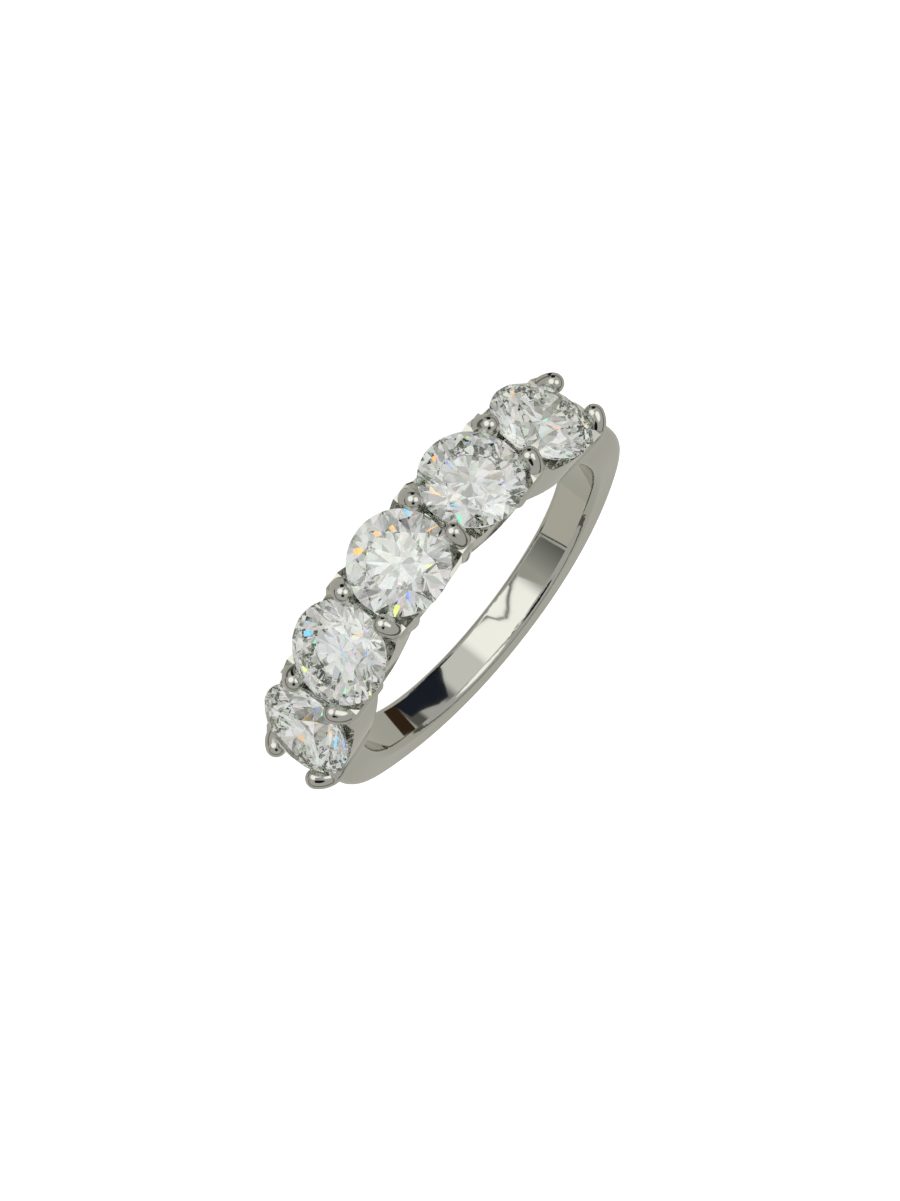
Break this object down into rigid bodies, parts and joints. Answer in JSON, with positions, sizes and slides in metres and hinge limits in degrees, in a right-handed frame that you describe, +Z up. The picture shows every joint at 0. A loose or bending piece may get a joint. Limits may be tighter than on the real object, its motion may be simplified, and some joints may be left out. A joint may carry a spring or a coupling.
{
  "type": "five stone ring",
  "caption": "Finger ring of polished white metal with a row of round brilliant cut stones in shared claws, lying on its side.",
  "frame": {"origin": "on the surface the ring lies on, under the middle of its bounding box", "axes": "+Z up. The ring lies on its side with the row of stones towards -Y and the shank's bottom towards +Y. The finger hole's axis leans about 5 degrees from +Z towards +Y, as the ring rests on its outer stones and the bottom of its shank."},
  "size_m": [0.023, 0.023, 0.0055],
  "materials": {
    "polished_white_metal": "high polish",
    "clear_stone": "polished facets"
  },
  "bodies": {
    "root": {"band_and_setting": "polished_white_metal", "stone_left_outer": "clear_stone", "stone_left_inner": "clear_stone", "stone_centre": "clear_stone", "stone_right_inner": "clear_stone", "stone_right_outer": "clear_stone"}
  },
  "joints": []
}
